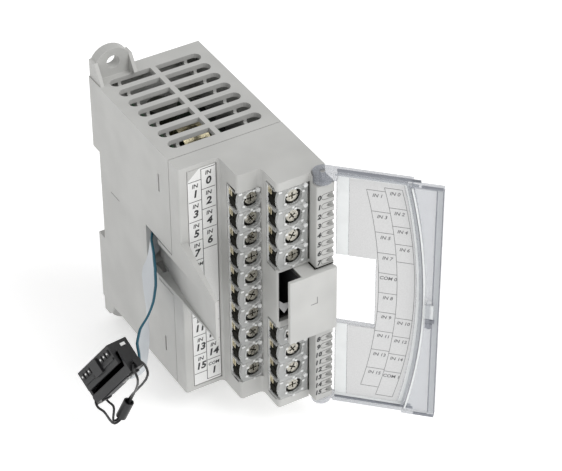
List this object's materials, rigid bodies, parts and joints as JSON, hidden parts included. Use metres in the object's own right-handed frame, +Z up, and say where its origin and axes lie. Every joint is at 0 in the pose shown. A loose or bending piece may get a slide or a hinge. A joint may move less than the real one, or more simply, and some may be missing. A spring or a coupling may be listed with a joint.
{
  "type": "plc module",
  "caption": "Narrow rail-mounted input module with a clear hinged door, stepped screw terminals, indicator strip, vented case and a bus ribbon with a black plug.",
  "frame": {"origin": "centre of the rail seat, in the plane where the front of a top-hat rail rests, midway across the width and the height", "axes": "+X to the right seen from the front, +Y to the back (out of the rail seat, towards the wall), +Z up"},
  "size_m": [0.0987, 0.1096, 0.11],
  "materials": {
    "housing": "fine moulded grain",
    "terminal": "moulded, satin",
    "clear_guard": "clear moulding",
    "clear_door": "clear moulding, polished",
    "label_white": "printed sheet",
    "label_grey": "printed sheet",
    "nickel": "plated, satin",
    "steel": "drawn",
    "black_plastic": "moulded, satin",
    "circuit_board": "solder resist",
    "copper": "enamelled winding",
    "capacitor": "shrink sleeve",
    "ribbon": "extruded, satin",
    "cord": "moulded"
  },
  "bodies": {
    "housing": {"rear_housing": "housing", "front_cover": "housing", "label_plate": "label_white", "terminal_block_outer": "terminal", "terminal_block_inner_upper": "terminal", "terminal_block_inner_lower": "terminal", "finger_guard_outer": "clear_guard", "finger_guard_inner_upper": "clear_guard", "finger_guard_inner_lower": "clear_guard", "bus_socket": "black_plastic", "bus_cover": "housing", "lamp_bar_upper": "clear_guard", "lamp_bar_lower": "clear_guard", "hinge_pin_upper": "steel", "hinge_pin_lower": "steel", "latch_spring": "steel", "main_board": "circuit_board", "terminal_board": "circuit_board", "power_inductor": "copper", "filter_capacitor": "capacitor", "controller_chip": "black_plastic", "ribbon_header": "black_plastic", "ribbon": "ribbon", "ribbon_connector": "black_plastic", "ribbon_connector_cap": "black_plastic", "pull_cord": "cord", "pull_crimp": "cord", "power_converter": "black_plastic", "isolator_bank": "black_plastic", "input_board": "circuit_board"},
    "door": {"door": "clear_door", "door_label": "label_grey"},
    "latch": {"rail_latch": "housing"},
    "screw_in_1": {"screw_in_1": "nickel"},
    "screw_in_3": {"screw_in_3": "nickel"},
    "screw_in_5": {"screw_in_5": "nickel"},
    "screw_in_7": {"screw_in_7": "nickel"},
    "screw_com_0": {"screw_com_0": "nickel"},
    "screw_in_8": {"screw_in_8": "nickel"},
    "screw_in_9": {"screw_in_9": "nickel"},
    "screw_in_11": {"screw_in_11": "nickel"},
    "screw_in_13": {"screw_in_13": "nickel"},
    "screw_in_15": {"screw_in_15": "nickel"},
    "screw_in_0": {"screw_in_0": "nickel"},
    "screw_in_2": {"screw_in_2": "nickel"},
    "screw_in_4": {"screw_in_4": "nickel"},
    "screw_in_6": {"screw_in_6": "nickel"},
    "screw_in_10": {"screw_in_10": "nickel"},
    "screw_in_12": {"screw_in_12": "nickel"},
    "screw_in_14": {"screw_in_14": "nickel"},
    "screw_com_1": {"screw_com_1": "nickel"}
  },
  "joints": [
    {"name": "door_hinge", "type": "hinge", "parent": "housing", "child": "door", "pos_m": [0.017, -0.0783, 0], "axis": [0, 0, 1], "range_deg": [-135.8, 15]},
    {"name": "latch_slide", "type": "slide", "parent": "housing", "child": "latch", "axis": [0, 0, -1], "range_m": [0, 0.004], "stiffness_N_per_m": 300, "springref_m": -0.003, "deforming": ["latch_spring"]},
    {"name": "screw_in_1_turn", "type": "hinge", "parent": "housing", "child": "screw_in_1", "pos_m": [-0.00095, -0.0667, 0.03429], "axis": [0, -1, 0], "range_deg": [-90, 1440]},
    {"name": "screw_in_3_turn", "type": "hinge", "parent": "housing", "child": "screw_in_3", "pos_m": [-0.00095, -0.0667, 0.02667], "axis": [0, -1, 0], "range_deg": [-90, 1440]},
    {"name": "screw_in_5_turn", "type": "hinge", "parent": "housing", "child": "screw_in_5", "pos_m": [-0.00095, -0.0667, 0.01905], "axis": [0, -1, 0], "range_deg": [-90, 1440]},
    {"name": "screw_in_7_turn", "type": "hinge", "parent": "housing", "child": "screw_in_7", "pos_m": [-0.00095, -0.0667, 0.01143], "axis": [0, -1, 0], "range_deg": [-90, 1440]},
    {"name": "screw_com_0_turn", "type": "hinge", "parent": "housing", "child": "screw_com_0", "pos_m": [-0.00095, -0.0667, 0.00381], "axis": [0, -1, 0], "range_deg": [-90, 1440]},
    {"name": "screw_in_8_turn", "type": "hinge", "parent": "housing", "child": "screw_in_8", "pos_m": [-0.00095, -0.0667, -0.00381], "axis": [0, -1, 0], "range_deg": [-90, 1440]},
    {"name": "screw_in_9_turn", "type": "hinge", "parent": "housing", "child": "screw_in_9", "pos_m": [-0.00095, -0.0667, -0.01143], "axis": [0, -1, 0], "range_deg": [-90, 1440]},
    {"name": "screw_in_11_turn", "type": "hinge", "parent": "housing", "child": "screw_in_11", "pos_m": [-0.00095, -0.0667, -0.01905], "axis": [0, -1, 0], "range_deg": [-90, 1440]},
    {"name": "screw_in_13_turn", "type": "hinge", "parent": "housing", "child": "screw_in_13", "pos_m": [-0.00095, -0.0667, -0.02667], "axis": [0, -1, 0], "range_deg": [-90, 1440]},
    {"name": "screw_in_15_turn", "type": "hinge", "parent": "housing", "child": "screw_in_15", "pos_m": [-0.00095, -0.0667, -0.03429], "axis": [0, -1, 0], "range_deg": [-90, 1440]},
    {"name": "screw_in_0_turn", "type": "hinge", "parent": "housing", "child": "screw_in_0", "pos_m": [0.0079, -0.0765, 0.0381], "axis": [0, -1, 0], "range_deg": [-90, 1440]},
    {"name": "screw_in_2_turn", "type": "hinge", "parent": "housing", "child": "screw_in_2", "pos_m": [0.0079, -0.0765, 0.03048], "axis": [0, -1, 0], "range_deg": [-90, 1440]},
    {"name": "screw_in_4_turn", "type": "hinge", "parent": "housing", "child": "screw_in_4", "pos_m": [0.0079, -0.0765, 0.02286], "axis": [0, -1, 0], "range_deg": [-90, 1440]},
    {"name": "screw_in_6_turn", "type": "hinge", "parent": "housing", "child": "screw_in_6", "pos_m": [0.0079, -0.0765, 0.01524], "axis": [0, -1, 0], "range_deg": [-90, 1440]},
    {"name": "screw_in_10_turn", "type": "hinge", "parent": "housing", "child": "screw_in_10", "pos_m": [0.0079, -0.0765, -0.01524], "axis": [0, -1, 0], "range_deg": [-90, 1440]},
    {"name": "screw_in_12_turn", "type": "hinge", "parent": "housing", "child": "screw_in_12", "pos_m": [0.0079, -0.0765, -0.02286], "axis": [0, -1, 0], "range_deg": [-90, 1440]},
    {"name": "screw_in_14_turn", "type": "hinge", "parent": "housing", "child": "screw_in_14", "pos_m": [0.0079, -0.0765, -0.03048], "axis": [0, -1, 0], "range_deg": [-90, 1440]},
    {"name": "screw_com_1_turn", "type": "hinge", "parent": "housing", "child": "screw_com_1", "pos_m": [0.0079, -0.0765, -0.0381], "axis": [0, -1, 0], "range_deg": [-90, 1440]}
  ]
}
